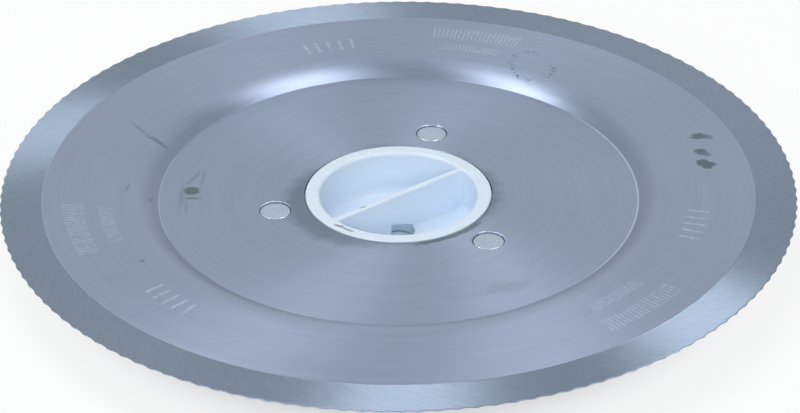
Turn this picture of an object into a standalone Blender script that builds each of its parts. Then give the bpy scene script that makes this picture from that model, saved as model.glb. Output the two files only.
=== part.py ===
"""Circular slicer blade: a dished steel disc with a wave-ground edge, riveted to a moulded drive hub.

Frame: +Z is the axis of rotation and points out of the blade's front face. The origin is on the
axis, at the hub's flat rear face, on which the part rests. Sizes are millimetres and degrees;
they become metres where vertices are made.
"""

import math

import bmesh
import bpy

MM = 0.001

# Blade disc
BLADE_DIAMETER = 170.0          # across the mean line of the waves
SHEET = 1.0                     # thickness of the steel
WAVE_COUNT = 144
WAVE_DEPTH = 0.32               # valley to crest, seen from the front
WAVE_POINTS = 5                 # edge points in one wave
WAVE_SHARPNESS = 1.4            # above 1 the valleys are broad and the crests narrow
GROUND_BAND_WIDTH = 8.75        # front band left by the grinding wheel
GROUND_BAND_DROP = 0.10         # fall of that band from its inner line to the edge
EDGE_LAND = 0.15                # height left at the cutting edge
BACK_BEVEL_WIDTH = 5.0          # fluted bevel ground from behind
OUTER_RING_WIDTH = 24.7         # from the foot of the pressed slope to the ground band
DISH_DEPTH = 2.4                # the pressed centre lies this far below the outer ring
DISH_SLOPE = 33.0               # degrees, at the foot
DISH_SHOULDER = 11.0            # bend radius at the top of the slope, on the front
DISH_BEND = 1.2                 # bend radius at the foot of the slope, on the back
DISC_STEPS = 72

# Drive hub
RIM_DIAMETER = 40.0             # ring that shows through the blade's hole
RIM_WALL = 3.1
RIM_STAND = 0.2                 # ring above the blade's flat centre
RIM_ROUND = 0.8                 # rounded inner edge of the ring
RIM_CHAMFER = 0.3
CUP_DEPTH = 9.7                 # finger recess, from the ring to its floor
CUP_DRAFT = 2.5                 # degrees
CUP_FILLET = 2.5
CUP_WALL = 2.1
CUP_FLOOR = 2.3
CUP_FOOT_CHAMFER = 0.5
GRIP_BAR_THICKNESS = 1.4        # at the top; it gets thicker downwards
GRIP_BAR_ANGLE = 37.6           # degrees from +X
GRIP_BAR_DRAFT = 1.2            # degrees a side
GRIP_BAR_SETBACK = 0.25         # top of the bar below the ring
BAR_WINDOW_LENGTH = 4.4         # opening through the foot of the grip bar, over the bore
BAR_WINDOW_HEIGHT = 2.2
BORE_DIAMETER = 7.0
BORE_RELIEF = 0.3               # the bore runs on this far above the cup's floor, under the bar
WEB_THICKNESS = 2.6
GEAR_TEETH = 72
GEAR_WIDTH = 8.5
GEAR_WALL = 2.2                 # ring under the roots of the teeth
PRESSURE_ANGLE = 20.0           # degrees
RIB_THICKNESS = 1.6
RIB_SETBACK = 1.0               # ribs stop this far inside the gear's rear face
HUB_STEPS = 60
BORE_FACETS = 24
BOSS_FACETS = 24

# Rivets
RIVET_COUNT = 3
RIVET_OFFSET = 7.1              # from the hub's ring to a rivet's axis
RIVET_ANGLE = 74.0              # first rivet, degrees from +X
RIVET_HEAD_DIAMETER = 6.6
RIVET_HEAD_LAND = 0.3           # straight part of the flush head, above its cone
RIVET_HEAD_EDGE = 0.2           # chamfer round the head
RIVET_SINK = 0.3                # head below the blade's flat centre
RIVET_DIMPLE_WIDTH = 0.9        # shallow cone pressed round the head
RIVET_DIMPLE_DEPTH = 0.35
RIVET_SHANK_DIAMETER = 4.2
RIVET_TAIL_DIAMETER = 7.2
RIVET_TAIL_HEIGHT = 1.6
RIVET_TAIL_RIM = 0.7            # straight rim of the tail, under its dome
RIVET_TAIL_CROWN = 1.1          # how far the dome draws in
RIVET_BOSS_DIAMETER = 10.0
RIVET_BOSS_HEIGHT = 0.8
RIVET_STEPS = 16

# Clearances
SEAT_GAP = 0.3                  # between two pieces that bear on each other
BLADE_HOLE_GAP = 0.3            # round the hub's ring
RIVET_HOLE_GAP = 0.3            # round a rivet
BOSS_TO_GEAR = 0.45             # between a rivet's boss and the gear's ring
CUT_MARGIN = 1.0                # how far a cutter runs past what it cuts
SKIM_MARGIN = 0.3               # the same for a shallow cone
JOIN_DEPTH = 0.6                # how far a rib or bar runs into the wall that carries it

SHARP_ANGLE = 28.0              # faces that meet at more than this are shaded apart

# Heights above the hub's rear face
CUP_FLOOR_Z = CUP_FLOOR
RIM_TOP_Z = CUP_FLOOR_Z + CUP_DEPTH
CENTRE_FRONT_Z = RIM_TOP_Z - RIM_STAND
CENTRE_BACK_Z = CENTRE_FRONT_Z - SHEET
RING_FRONT_Z = CENTRE_FRONT_Z + DISH_DEPTH
RING_BACK_Z = RING_FRONT_Z - SHEET
WEB_FRONT_Z = CENTRE_BACK_Z - SEAT_GAP
WEB_BACK_Z = WEB_FRONT_Z - WEB_THICKNESS
GEAR_REAR_Z = WEB_FRONT_Z - GEAR_WIDTH
EDGE_TOP_Z = RING_FRONT_Z - GROUND_BAND_DROP

# Radii
EDGE_RADIUS = BLADE_DIAMETER / 2
BORE_RADIUS = BORE_DIAMETER / 2
BAND_INNER_RADIUS = EDGE_RADIUS - GROUND_BAND_WIDTH
DISH_CORNER_RADIUS = BAND_INNER_RADIUS - OUTER_RING_WIDTH
RIM_RADIUS = RIM_DIAMETER / 2
BLADE_HOLE_RADIUS = RIM_RADIUS + BLADE_HOLE_GAP
CUP_MOUTH_RADIUS = RIM_RADIUS - RIM_WALL
CUP_FLOOR_RADIUS = CUP_MOUTH_RADIUS - CUP_DEPTH * math.tan(math.radians(CUP_DRAFT))
CUP_FOOT_RADIUS = CUP_FLOOR_RADIUS + CUP_WALL
RIVET_CIRCLE_RADIUS = RIM_RADIUS + RIVET_OFFSET
GEAR_BORE_RADIUS = RIVET_CIRCLE_RADIUS + RIVET_BOSS_DIAMETER / 2 + BOSS_TO_GEAR
ROOT_RADIUS = GEAR_BORE_RADIUS + GEAR_WALL
GEAR_MODULE = ROOT_RADIUS / (GEAR_TEETH / 2 - 1.25)
PITCH_RADIUS = GEAR_MODULE * GEAR_TEETH / 2
TIP_RADIUS = PITCH_RADIUS + GEAR_MODULE


def clear_scene():
    """Empties the file of objects and of the collections of an earlier run."""
    for obj in list(bpy.data.objects):
        bpy.data.objects.remove(obj, do_unlink=True)
    for collection in list(bpy.data.collections):
        bpy.data.collections.remove(collection)


def new_collection(name):
    collection = bpy.data.collections.new(name)
    bpy.context.scene.collection.children.link(collection)
    return collection


def material(name, colour, metallic, roughness):
    """A plain Principled material."""
    made = bpy.data.materials.new(name)
    made.use_nodes = True
    shader = made.node_tree.nodes["Principled BSDF"]
    shader.inputs["Base Color"].default_value = (*colour, 1.0)
    shader.inputs["Metallic"].default_value = metallic
    shader.inputs["Roughness"].default_value = roughness
    made.diffuse_color = (*colour, 1.0)
    return made


def add_object(name, mesh, collection):
    obj = bpy.data.objects.new(name, mesh)
    collection.objects.link(obj)
    return obj


def as_cutter(obj):
    """Marks an object as a cutting or joining tool that isn't part of the product."""
    obj.hide_render = True
    obj.display_type = "WIRE"
    return obj


def arc(centre_r, centre_z, radius, start, end, segments):
    """Points (r, z) along an arc, its angles in degrees from +r towards +Z."""
    points = []
    for i in range(segments + 1):
        angle = math.radians(start + (end - start) * i / segments)
        points.append((centre_r + radius * math.cos(angle), centre_z + radius * math.sin(angle)))
    return points


def turned(name, profile, steps, collection, closed=True):
    """A solid turned round Z from (r, z) points that run down its outer side.

    An open profile starts and ends on the axis.
    """
    mesh = bpy.data.meshes.new(name)
    last = len(profile) - 1
    edges = [(i, i + 1) for i in range(last)]
    if closed:
        edges.append((last, 0))
    mesh.from_pydata([(r * MM, 0.0, z * MM) for r, z in profile], edges, [])
    obj = add_object(name, mesh, collection)
    screw = obj.modifiers.new("turn", "SCREW")
    screw.axis = "Z"
    screw.steps = steps
    screw.render_steps = steps
    screw.use_merge_vertices = True
    screw.merge_threshold = 1e-6
    return obj


def lofted(name, rings, collection):
    """A closed solid through rings of equal point counts, the lowest first, capped at both ends."""
    bm = bmesh.new()
    loops = [[bm.verts.new(point) for point in ring] for ring in rings]
    count = len(loops[0])
    for lower, upper in zip(loops, loops[1:]):
        for i in range(count):
            j = (i + 1) % count
            bm.faces.new((lower[i], lower[j], upper[j], upper[i]))
    bm.faces.new(reversed(loops[0]))
    bm.faces.new(loops[-1])
    mesh = bpy.data.meshes.new(name)
    bm.to_mesh(mesh)
    bm.free()
    return add_object(name, mesh, collection)


def prism(name, outline, low_z, high_z, collection):
    """An upright solid on a flat outline of (x, y) points, from a filled 2D curve."""
    curve = bpy.data.curves.new(name, "CURVE")
    curve.dimensions = "2D"
    curve.fill_mode = "BOTH"
    curve.extrude = (high_z - low_z) * MM / 2
    spline = curve.splines.new("POLY")
    spline.points.add(len(outline) - 1)
    for point, (x, y) in zip(spline.points, outline):
        point.co = (x * MM, y * MM, 0.0, 1.0)
    spline.use_cyclic_u = True
    flat = add_object(name + "_outline", curve, collection)
    bpy.context.view_layer.update()
    mesh = bpy.data.meshes.new_from_object(flat.evaluated_get(bpy.context.evaluated_depsgraph_get()))
    bpy.data.objects.remove(flat, do_unlink=True)
    bm = bmesh.new()
    bm.from_mesh(mesh)
    bmesh.ops.remove_doubles(bm, verts=bm.verts, dist=1e-7)
    bmesh.ops.translate(bm, verts=bm.verts, vec=(0.0, 0.0, (low_z + high_z) * MM / 2))
    bmesh.ops.recalc_face_normals(bm, faces=bm.faces)
    bm.to_mesh(mesh)
    bm.free()
    return add_object(name, mesh, collection)


def add_box(bm, x_range, y_range, z_range, turn):
    """Adds a box in millimetres, turned about Z by degrees."""
    corners = bmesh.ops.create_cube(bm, size=1.0)["verts"]
    turn = math.radians(turn)
    for corner in corners:
        x = x_range[0] if corner.co.x < 0 else x_range[1]
        y = y_range[0] if corner.co.y < 0 else y_range[1]
        z = z_range[0] if corner.co.z < 0 else z_range[1]
        corner.co = (
            (x * math.cos(turn) - y * math.sin(turn)) * MM,
            (x * math.sin(turn) + y * math.cos(turn)) * MM,
            z * MM,
        )


def add_cylinder(bm, radius, low_z, high_z, steps, at):
    """Adds an upright cylinder in millimetres."""
    corners = bmesh.ops.create_cone(
        bm,
        cap_ends=True,
        segments=steps,
        radius1=radius * MM,
        radius2=radius * MM,
        depth=(high_z - low_z) * MM,
    )["verts"]
    offset = (at[0] * MM, at[1] * MM, (low_z + high_z) * MM / 2)
    bmesh.ops.translate(bm, verts=corners, vec=offset)


def solid_from(name, bm, collection):
    mesh = bpy.data.meshes.new(name)
    bm.to_mesh(mesh)
    bm.free()
    return add_object(name, mesh, collection)


def boolean(target, tool, operation):
    """Adds a Boolean step; operation is UNION, DIFFERENCE or INTERSECT."""
    step = target.modifiers.new(tool.name, "BOOLEAN")
    step.operation = operation
    step.solver = "EXACT"
    step.object = as_cutter(tool)


def settle(obj):
    """Turns the finished modifiers into the object's own mesh, smooth but for its sharp edges."""
    shape = obj.evaluated_get(bpy.context.evaluated_depsgraph_get())
    mesh = bpy.data.meshes.new_from_object(shape)
    mesh.name = obj.name
    obj.modifiers.clear()
    obj.data = mesh
    mesh.shade_smooth()
    mesh.set_sharp_from_angle(angle=math.radians(SHARP_ANGLE))


def on_circle(radius, angle):
    """The point (x, y) at a radius and an angle in degrees from +X."""
    angle = math.radians(angle)
    return radius * math.cos(angle), radius * math.sin(angle)


def rivet_angles():
    return [RIVET_ANGLE + 360.0 * i / RIVET_COUNT for i in range(RIVET_COUNT)]


def disc_profile():
    """The dished sheet: front from the hole outwards, down the rim, and back along the rear."""
    slope = math.radians(DISH_SLOPE)
    slope_top_r = DISH_CORNER_RADIUS + DISH_DEPTH / math.tan(slope)
    shoulder_r = slope_top_r + DISH_SHOULDER * math.tan(slope / 2)
    shoulder_z = RING_FRONT_Z - DISH_SHOULDER
    back_corner_r = DISH_CORNER_RADIUS + SHEET * math.tan(slope / 2)
    bend_r = back_corner_r - DISH_BEND * math.tan(slope / 2)
    bend_z = CENTRE_BACK_Z + DISH_BEND
    blank_radius = EDGE_RADIUS + WAVE_DEPTH + CUT_MARGIN
    blank_drop = GROUND_BAND_DROP * (blank_radius - BAND_INNER_RADIUS) / GROUND_BAND_WIDTH
    start, end = 90.0 + DISH_SLOPE, 90.0
    front_shoulder = arc(shoulder_r, shoulder_z, DISH_SHOULDER, start, end, 3)
    back_shoulder = arc(shoulder_r, shoulder_z, DISH_SHOULDER - SHEET, end, start, 3)
    back_bend = arc(bend_r, bend_z, DISH_BEND, -90.0 + DISH_SLOPE, -90.0, 2)
    return [
        (BLADE_HOLE_RADIUS, CENTRE_FRONT_Z),
        (DISH_CORNER_RADIUS, CENTRE_FRONT_Z),
        *front_shoulder,
        (BAND_INNER_RADIUS, RING_FRONT_Z),
        (blank_radius, RING_FRONT_Z - blank_drop),
        (blank_radius, RING_BACK_Z),
        *back_shoulder,
        *back_bend,
        (BLADE_HOLE_RADIUS, CENTRE_BACK_Z),
    ]


def wave_height(turn):
    """Height of the edge above its valleys, at a place counted in waves from a crest."""
    return WAVE_DEPTH * abs(math.cos(math.pi * turn)) ** (2 * WAVE_SHARPNESS)


def wavy_ring(base_radius, z):
    """One ring of the grinding form: a circle with the waves standing on its valleys."""
    count = WAVE_COUNT * WAVE_POINTS
    points = []
    for i in range(count):
        height = wave_height(i / WAVE_POINTS)
        x, y = on_circle(base_radius - WAVE_DEPTH / 2 + height, 360.0 * i / count)
        points.append((x * MM, y * MM, z * MM))
    return points


def grinding_form(collection):
    """What is left after grinding: an upright waved land above a fluted cone that opens upwards."""
    land_foot_z = EDGE_TOP_Z - EDGE_LAND
    fall = (land_foot_z - RING_BACK_Z) / BACK_BEVEL_WIDTH
    cone_foot_z = RING_BACK_Z - SHEET / 2
    cone_foot_radius = EDGE_RADIUS - (land_foot_z - cone_foot_z) / fall
    rings = [
        wavy_ring(cone_foot_radius, CENTRE_BACK_Z - CUT_MARGIN),
        wavy_ring(cone_foot_radius, cone_foot_z),
        wavy_ring(EDGE_RADIUS, land_foot_z),
        wavy_ring(EDGE_RADIUS, RING_FRONT_Z + CUT_MARGIN),
    ]
    return lofted("grinding_form", rings, collection)


def rivet_holes(collection):
    """Dimpled and countersunk holes for the rivets, wider than them by their clearance."""
    head_radius = RIVET_HEAD_DIAMETER / 2 + RIVET_HOLE_GAP
    shank_radius = RIVET_SHANK_DIAMETER / 2 + RIVET_HOLE_GAP
    cone_top_z = CENTRE_FRONT_Z - RIVET_SINK - RIVET_HEAD_LAND
    dimple_reach = RIVET_DIMPLE_WIDTH * (1 + SKIM_MARGIN / RIVET_DIMPLE_DEPTH)
    profile = [
        (0.0, CENTRE_FRONT_Z + SKIM_MARGIN),
        (head_radius + dimple_reach, CENTRE_FRONT_Z + SKIM_MARGIN),
        (head_radius, CENTRE_FRONT_Z - RIVET_DIMPLE_DEPTH),
        (head_radius, cone_top_z),
        (shank_radius, CENTRE_BACK_Z),
        (shank_radius, WEB_BACK_Z - RIVET_BOSS_HEIGHT - CUT_MARGIN),
        (0.0, WEB_BACK_Z - RIVET_BOSS_HEIGHT - CUT_MARGIN),
    ]
    holes = []
    for index, angle in enumerate(rivet_angles(), start=1):
        hole = turned(f"rivet_hole_{index}", profile, RIVET_STEPS, collection, closed=False)
        x, y = on_circle(RIVET_CIRCLE_RADIUS, angle)
        hole.location = (x * MM, y * MM, 0.0)
        holes.append(hole)
    return holes


def blade_disc(parts, cutters, holes, steel):
    """The pressed steel disc with its waves, bevel and rivet holes."""
    disc = turned("blade_disc", disc_profile(), DISC_STEPS, parts)
    boolean(disc, grinding_form(cutters), "INTERSECT")
    for hole in holes:
        boolean(disc, hole, "DIFFERENCE")
    disc.data.materials.append(steel)
    return disc


def hub_profile():
    """Pilot hole, cup floor, wall and ring, then the web, the gear's blank and the foot of the cup."""
    pilot_radius = BORE_RADIUS / 2
    gear_blank_radius = TIP_RADIUS + CUT_MARGIN
    return [
        (pilot_radius, CUP_FLOOR_Z),
        *arc(CUP_FLOOR_RADIUS - CUP_FILLET, CUP_FLOOR_Z + CUP_FILLET, CUP_FILLET, -90.0, 0.0, 3),
        *arc(CUP_MOUTH_RADIUS + RIM_ROUND, RIM_TOP_Z - RIM_ROUND, RIM_ROUND, 180.0, 90.0, 2),
        (RIM_RADIUS - RIM_CHAMFER, RIM_TOP_Z),
        (RIM_RADIUS, RIM_TOP_Z - RIM_CHAMFER),
        (RIM_RADIUS, WEB_FRONT_Z),
        (gear_blank_radius, WEB_FRONT_Z),
        (gear_blank_radius, GEAR_REAR_Z),
        (GEAR_BORE_RADIUS, GEAR_REAR_Z),
        (GEAR_BORE_RADIUS, WEB_BACK_Z),
        (CUP_FOOT_RADIUS, WEB_BACK_Z),
        (CUP_FOOT_RADIUS, CUP_FOOT_CHAMFER),
        (CUP_FOOT_RADIUS - CUP_FOOT_CHAMFER, 0.0),
        (pilot_radius, 0.0),
    ]


def tooth_half_angle(radius):
    """Half the angle that an involute tooth takes up at a radius."""
    def involute(angle):
        return math.tan(angle) - angle

    pressure = math.radians(PRESSURE_ANGLE)
    base_radius = PITCH_RADIUS * math.cos(pressure)
    here = math.acos(min(1.0, base_radius / radius))
    return math.pi / (2 * GEAR_TEETH) + involute(pressure) - involute(here)


def gear_form(collection):
    """A toothed prism with involute flanks, three points to a flank."""
    radii = [ROOT_RADIUS, PITCH_RADIUS, TIP_RADIUS]
    outline = []
    for tooth in range(GEAR_TEETH):
        middle = 360.0 * tooth / GEAR_TEETH
        for radius in radii:
            outline.append(on_circle(radius, middle - math.degrees(tooth_half_angle(radius))))
        for radius in reversed(radii):
            outline.append(on_circle(radius, middle + math.degrees(tooth_half_angle(radius))))
    return prism("gear_form", outline, -CUT_MARGIN, RIM_TOP_Z + CUT_MARGIN, collection)


def rectangle(half_length, half_width, z):
    """A level rectangle round the axis, as one ring of a loft."""
    corners = [(-1, -1), (1, -1), (1, 1), (-1, 1)]
    return [(a * half_length * MM, b * half_width * MM, z * MM) for a, b in corners]


def grip_bar(collection):
    """The thin wall across the cup that fingers turn, thicker and shorter at its foot."""
    foot_z = CUP_FLOOR_Z - JOIN_DEPTH
    top_z = RIM_TOP_Z - GRIP_BAR_SETBACK
    top_half = GRIP_BAR_THICKNESS / 2
    foot_half = top_half + (top_z - foot_z) * math.tan(math.radians(GRIP_BAR_DRAFT))
    rings = [
        rectangle(CUP_FLOOR_RADIUS + JOIN_DEPTH, foot_half, foot_z),
        rectangle(CUP_MOUTH_RADIUS + RIM_ROUND + JOIN_DEPTH, top_half, top_z),
    ]
    bar = lofted("grip_bar", rings, collection)
    bar.rotation_euler.z = math.radians(GRIP_BAR_ANGLE)
    return bar


def bar_window(collection):
    """The opening through the foot of the grip bar; its lower end lies in the bore."""
    half_length = BAR_WINDOW_LENGTH / 2
    half_width = GRIP_BAR_THICKNESS
    rings = [
        rectangle(half_length, half_width, CUP_FLOOR_Z - JOIN_DEPTH / 2),
        rectangle(half_length, half_width, CUP_FLOOR_Z + BAR_WINDOW_HEIGHT),
    ]
    window = lofted("bar_window", rings, collection)
    window.rotation_euler.z = math.radians(GRIP_BAR_ANGLE)
    return window


def axle_bore(collection):
    """The bore for the machine's axle, turned half a step so that it meets no corner of the hub."""
    profile = [
        (0.0, CUP_FLOOR_Z + BORE_RELIEF),
        (BORE_RADIUS, CUP_FLOOR_Z + BORE_RELIEF),
        (BORE_RADIUS, -CUT_MARGIN),
        (0.0, -CUT_MARGIN),
    ]
    bore = turned("axle_bore", profile, BORE_FACETS, collection, closed=False)
    bore.rotation_euler.z = math.pi / BORE_FACETS
    return bore


def stiffeners(collection):
    """Radial ribs behind the web, halfway between the rivets and opposite them."""
    bm = bmesh.new()
    rib_count = 2 * RIVET_COUNT
    for i in range(rib_count):
        angle = RIVET_ANGLE + 360.0 * (i + 0.5) / rib_count
        add_box(
            bm,
            (CUP_FOOT_RADIUS - JOIN_DEPTH, GEAR_BORE_RADIUS + JOIN_DEPTH),
            (-RIB_THICKNESS / 2, RIB_THICKNESS / 2),
            (GEAR_REAR_Z + RIB_SETBACK, WEB_BACK_Z + JOIN_DEPTH),
            angle,
        )
    for angle in rivet_angles():
        add_cylinder(
            bm,
            RIVET_BOSS_DIAMETER / 2,
            WEB_BACK_Z - RIVET_BOSS_HEIGHT,
            WEB_BACK_Z + JOIN_DEPTH,
            BOSS_FACETS,
            on_circle(RIVET_CIRCLE_RADIUS, angle),
        )
    return solid_from("ribs_and_bosses", bm, collection)


def drive_hub(parts, cutters, holes, plastic):
    """The one-piece moulding: ring, cup, grip bar, web, ribs, rivet bosses and drive gear."""
    hub = turned("drive_hub", hub_profile(), HUB_STEPS, parts)
    boolean(hub, gear_form(cutters), "INTERSECT")
    boolean(hub, grip_bar(cutters), "UNION")
    boolean(hub, stiffeners(cutters), "UNION")
    for cutter in [axle_bore(cutters), bar_window(cutters), *holes]:
        boolean(hub, cutter, "DIFFERENCE")
    hub.data.materials.append(plastic)
    return hub


def rivet_profile():
    """Flush countersunk head, shank, and the domed tail that closes on the boss."""
    head = RIVET_HEAD_DIAMETER / 2
    shank = RIVET_SHANK_DIAMETER / 2
    tail = RIVET_TAIL_DIAMETER / 2
    head_top = CENTRE_FRONT_Z - RIVET_SINK
    tail_top = WEB_BACK_Z - RIVET_BOSS_HEIGHT - SEAT_GAP
    tail_end = tail_top - RIVET_TAIL_HEIGHT
    return [
        (0.0, head_top),
        (head - RIVET_HEAD_EDGE, head_top),
        (head, head_top - RIVET_HEAD_EDGE),
        (head, head_top - RIVET_HEAD_LAND),
        (shank, CENTRE_BACK_Z),
        (shank, tail_top),
        (tail, tail_top),
        (tail, tail_top - RIVET_TAIL_RIM),
        (tail - RIVET_TAIL_CROWN, tail_end),
        (0.0, tail_end),
    ]


def rivets(parts, aluminium):
    """Three rivets, each its own piece at its own place on the circle."""
    made = []
    for index, angle in enumerate(rivet_angles(), start=1):
        rivet = turned(f"rivet_{index}", rivet_profile(), RIVET_STEPS, parts, closed=False)
        x, y = on_circle(RIVET_CIRCLE_RADIUS, angle)
        rivet.location = (x * MM, y * MM, 0.0)
        rivet.data.materials.append(aluminium)
        made.append(rivet)
    return made


def main():
    clear_scene()
    parts = new_collection("slicer_blade")
    cutters = new_collection("cutters")
    steel = material("brushed_steel", (0.36, 0.41, 0.47), 1.0, 0.38)
    plastic = material("white_plastic", (0.78, 0.81, 0.85), 0.0, 0.42)
    aluminium = material("rivet_metal", (0.52, 0.56, 0.58), 1.0, 0.32)
    holes = rivet_holes(cutters)
    pieces = [
        blade_disc(parts, cutters, holes, steel),
        drive_hub(parts, cutters, holes, plastic),
        *rivets(parts, aluminium),
    ]
    bpy.context.view_layer.update()
    for piece in pieces:
        settle(piece)


main()
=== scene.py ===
"""Looks of a slicer blade on its riveted drive hub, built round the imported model.

Frame: +Z is the axis of rotation and points out of the blade's front face. The origin is on the
axis, at the hub's rear face. Sizes here are millimetres and degrees; they become metres and
radians where a mesh, a lamp or a pattern is made. The grain of a noise is counted in a metre.
"""

from __future__ import annotations

import logging
import math
from dataclasses import dataclass
from enum import Enum
from functools import cached_property, reduce

import bmesh
import bpy
import numpy as np
from mathutils import Matrix


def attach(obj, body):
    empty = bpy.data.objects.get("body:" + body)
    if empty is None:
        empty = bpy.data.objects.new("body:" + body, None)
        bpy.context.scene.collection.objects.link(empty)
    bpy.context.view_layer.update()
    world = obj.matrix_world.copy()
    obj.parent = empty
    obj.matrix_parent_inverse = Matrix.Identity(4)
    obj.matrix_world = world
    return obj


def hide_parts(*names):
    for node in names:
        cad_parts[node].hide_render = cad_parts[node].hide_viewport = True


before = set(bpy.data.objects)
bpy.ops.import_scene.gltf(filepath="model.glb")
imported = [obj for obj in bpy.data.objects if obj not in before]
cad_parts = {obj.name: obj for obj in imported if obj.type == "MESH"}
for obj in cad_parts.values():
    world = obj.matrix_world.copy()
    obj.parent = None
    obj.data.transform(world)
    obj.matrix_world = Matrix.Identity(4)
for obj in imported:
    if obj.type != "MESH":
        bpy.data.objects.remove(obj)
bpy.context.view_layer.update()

MM = 0.001
BODY = "root"
LOG = logging.getLogger("blade")

RIVET_CIRCLE = 27.1
RIVET_ANGLES = (74.0, 194.0, 314.0)
RIVET_PLACES = ("far", "left", "near")
CUP_DRAFT = 2.5
WELD = 0.0002
OVERLAP = 0.6

# The middle of the sheet, from the foot of the pressed slope to its top
MIDDLE_RADII = (50.3, 56.5)
MIDDLE_HEIGHTS = (11.3, 13.7)
MIDDLE_SOFT = 0.05

Pair = tuple[float, float]
Triple = tuple[float, float, float]
Colour = tuple[float, float, float]
Socket = bpy.types.NodeSocket
Inputs = dict[int | str, object]

PALE_MARK_AND_HIGHLIGHT: Colour = (0.52, 0.59, 0.72)
GRIME_AND_GAP_SHADE: Colour = (0.062, 0.1, 0.12)
SCUFF_DIRT: Colour = (0.11, 0.1, 0.085)
SHADE_IN_BORE: Colour = (0.7, 0.81, 0.9)
FLOOR_SHADE_UNDER_BORE: Colour = (0.52, 0.62, 0.7)


class Slot(Enum):
    """The record's material slots."""

    STEEL = "blade_steel"
    PLASTIC = "hub_plastic"
    RIVET = "rivet_metal"


class Cut(Enum):
    """What a second solid does to the first."""

    JOIN = "UNION"
    TAKE = "DIFFERENCE"


class Lay(Enum):
    """Which way the fine lines of ground steel run."""

    ROUND = "round the axis"
    SPIRAL = "outwards in spirals"


class Use(Enum):
    """What a lamp lights."""

    SHEEN = "reflections alone"
    FILL = "matt surfaces alone"


# Surfaces


def arc(centre: Pair, radius: float, start: float, end: float, steps: int) -> np.ndarray:
    """Points (r, z) along an arc: the centre plus the radius times the cosine and sine of the angle.

    Args:
        centre: The arc's centre (r, z).
        radius: Its radius.
        start: First angle, in degrees from +r towards +Z.
        end: Last angle.
        steps: Number of segments.

    Returns:
        An array of shape (steps + 1, 2).
    """
    angles = np.radians(np.linspace(start, end, steps + 1))
    return np.stack([centre[0] + radius * np.cos(angles), centre[1] + radius * np.sin(angles)], axis=1)


def straight(start: Pair, end: Pair, stops: list[float]) -> np.ndarray:
    """Points (r, z) on the line between two points, at the given shares of its length."""
    share = np.array(stops)[:, None]
    return np.array(start)[None, :] * (1 - share) + np.array(end)[None, :] * share


def polar(radius: np.ndarray, angle: np.ndarray, height: np.ndarray) -> np.ndarray:
    """Points from a radius, an angle in radians and a height: r cos a, r sin a, z."""
    radius, angle, height = np.broadcast_arrays(radius, angle, height)
    return np.stack([radius * np.cos(angle), radius * np.sin(angle), height], axis=-1)


def revolved(profile: np.ndarray, angles: np.ndarray) -> np.ndarray:
    """A profile (r, z) carried round the axis: row i, column j is the point of profile i at angle j."""
    return polar(profile[:, 0, None], angles[None, :], profile[:, 1, None])


def ring_angles(count: int, turn: float = 0.0) -> np.ndarray:
    """Evenly spaced angles of a full circle, in radians, the first at turn degrees."""
    return math.radians(turn) + np.arange(count) * (2 * math.pi / count)


def on_circle(radius: float, angle: float) -> np.ndarray:
    """The place (x, y) at a radius and at an angle from +X: r cos a, r sin a."""
    return radius * np.array([math.cos(math.radians(angle)), math.sin(math.radians(angle))])


def spun(points: np.ndarray, angle: float) -> np.ndarray:
    """Points turned about Z: x cos a - y sin a, x sin a + y cos a, z."""
    cos, sin = on_circle(1.0, angle)
    return points @ np.array([[cos, sin, 0.0], [-sin, cos, 0.0], [0.0, 0.0, 1.0]])


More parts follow.
